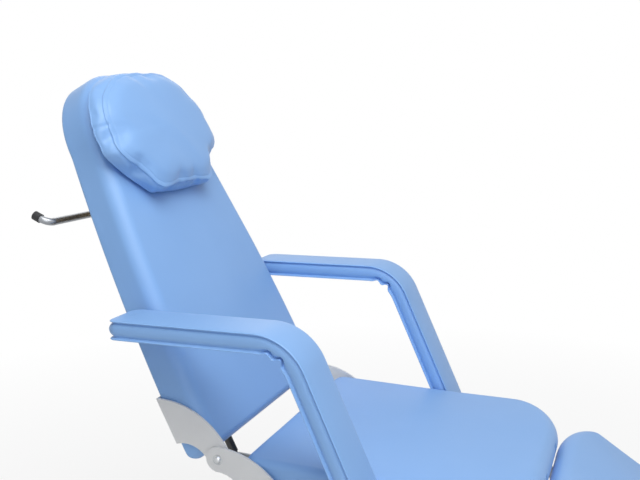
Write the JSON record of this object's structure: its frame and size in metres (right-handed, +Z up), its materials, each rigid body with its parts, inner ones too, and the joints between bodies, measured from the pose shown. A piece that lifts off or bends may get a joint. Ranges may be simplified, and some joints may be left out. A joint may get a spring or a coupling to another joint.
{
  "type": "beauty treatment chair",
  "caption": "Padded treatment chair with reclining back, folding legrest, removable loop armrests and headrest pillow on a swivelling foot-pumped column.",
  "frame": {"origin": "on the floor, at the middle of the base plate's underside, on the axis of the lift column", "axes": "+Z up, +Y towards the head end and -Y towards the foot end, +X to the left of the person seated"},
  "size_m": [0.759, 1.4628, 1.3814],
  "materials": {
    "blue_vinyl": "satin",
    "grey_steel": "satin",
    "frame_paint": "satin",
    "black_paint": "satin",
    "zinc": "satin",
    "bar_metal": "satin",
    "black_iron": "satin",
    "bright_steel": "polished",
    "bronze": "satin",
    "plywood": "matte",
    "nylon": "satin",
    "black_plastic": "matte",
    "black_rubber": "matte",
    "velcro": "matte"
  },
  "bodies": {
    "base": {"base_plate": "black_iron", "base_trim": "black_rubber", "base_bolts": "zinc", "pump_block": "black_iron", "pump_cylinder": "black_paint", "guide_bush": "bronze", "pedal_pin": "zinc"},
    "pedal": {"pedal_arm": "black_paint", "pedal_pad": "black_rubber"},
    "lift": {"lift_column": "bright_steel", "thrust_washer": "bronze", "hub_nut": "zinc"},
    "seat": {"swivel_hub": "frame_paint", "hub_bolts": "zinc", "seat_rail_left": "frame_paint", "seat_rail_right": "frame_paint", "cross_tube_front": "frame_paint", "cross_tube_rear": "frame_paint", "seat_board": "plywood", "seat_cushion": "blue_vinyl", "seat_screws": "zinc", "seat_hinge_plate_left": "grey_steel", "seat_hinge_plate_right": "grey_steel", "pivot_bolts": "zinc", "pivot_washers": "nylon", "strut_fork": "frame_paint", "strut_pin": "zinc", "armrest_bracket_left": "frame_paint", "armrest_bracket_right": "frame_paint", "leg_hinge_lugs": "frame_paint", "leg_hinge_pins": "zinc"},
    "backrest": {"back_board": "plywood", "back_cushion": "blue_vinyl", "back_hinge_plate_left": "grey_steel", "back_hinge_plate_right": "grey_steel", "back_screws": "zinc", "back_rail_left": "black_paint", "back_rail_right": "black_paint", "back_cross_tube": "black_paint", "strut_ears": "black_paint", "paper_roll_rod": "grey_steel", "rod_end_cap": "black_plastic"},
    "headrest": {"headrest_pillow": "blue_vinyl", "pillow_strips": "velcro"},
    "legrest": {"leg_board": "plywood", "leg_cushion": "blue_vinyl", "leg_rail_left": "frame_paint", "leg_rail_right": "frame_paint", "leg_screws": "zinc"},
    "armrest_left": {"armrest_tube_left": "bar_metal", "armrest_pad_left": "blue_vinyl"},
    "armrest_right": {"armrest_tube_right": "bar_metal", "armrest_pad_right": "blue_vinyl"},
    "knob_left": {"clamp_knob_left": "black_plastic"},
    "knob_right": {"clamp_knob_right": "black_plastic"},
    "strut_body": {"strut_cylinder": "black_paint"},
    "strut_piston": {"strut_rod": "bright_steel"},
    "back_release": {"release_lever": "zinc", "lever_grip": "black_plastic"}
  },
  "joints": [
    {"name": "lift_slide", "type": "slide", "parent": "base", "child": "lift", "axis": [0, 0, 1], "range_m": [0, 0.15]},
    {"name": "swivel", "type": "hinge", "parent": "lift", "child": "seat", "pos_m": [0, 0, 0.46], "axis": [0, 0, 1], "continuous": true},
    {"name": "backrest_hinge", "type": "hinge", "parent": "seat", "child": "backrest", "pos_m": [0, 0.33, 0.592], "axis": [1, 0, 0], "range_deg": [-63, 0]},
    {"name": "pillow_slide", "type": "slide", "parent": "backrest", "child": "headrest", "axis": [0, 0.454, 0.891], "range_m": [-0.08, 0.03]},
    {"name": "legrest_hinge", "type": "hinge", "parent": "seat", "child": "legrest", "pos_m": [0, -0.274, 0.5635], "axis": [1, 0, 0], "range_deg": [-30, 45]},
    {"name": "armrest_slide_left", "type": "slide", "parent": "seat", "child": "armrest_left", "axis": [0, 0.4195, 0.9078], "range_m": [0, 0.1]},
    {"name": "armrest_slide_right", "type": "slide", "parent": "seat", "child": "armrest_right", "axis": [0, 0.4195, 0.9078], "range_m": [0, 0.1]},
    {"name": "knob_turn_left", "type": "hinge", "parent": "seat", "child": "knob_left", "pos_m": [0.36, -0.06088, 0.44642], "axis": [1, 0, 0], "continuous": true},
    {"name": "knob_turn_right", "type": "hinge", "parent": "seat", "child": "knob_right", "pos_m": [-0.36, -0.06088, 0.44642], "axis": [1, 0, 0], "continuous": true},
    {"name": "strut_tilt", "type": "hinge", "parent": "seat", "child": "strut_body", "pos_m": [-0.09, 0.39102, 0.5003], "axis": [1, 0, 0], "range_deg": [-64.5, 0.5]},
    {"name": "strut_slide", "type": "slide", "parent": "strut_body", "child": "strut_piston", "axis": [0, 0.454, 0.891], "range_m": [-0.117, 0.001]},
    {"name": "release_lever_turn", "type": "hinge", "parent": "backrest", "child": "back_release", "pos_m": [0, 0.60507, 0.88955], "axis": [1, 0, 0], "range_deg": [-15, 0], "stiffness_Nm_per_rad": 1.2, "springref_deg": 14.32},
    {"name": "pedal_hinge", "type": "hinge", "parent": "base", "child": "pedal", "pos_m": [0, 0.102, 0.084], "axis": [1, 0, 0], "range_deg": [-12, 0], "stiffness_Nm_per_rad": 20, "springref_deg": 17.19}
  ],
  "couplings": [
    {"joint": "strut_tilt", "follows": "backrest_hinge", "ratio": 1.0137},
    {"joint": "strut_slide", "follows": "backrest_hinge", "m_per_rad": 0.10458}
  ]
}
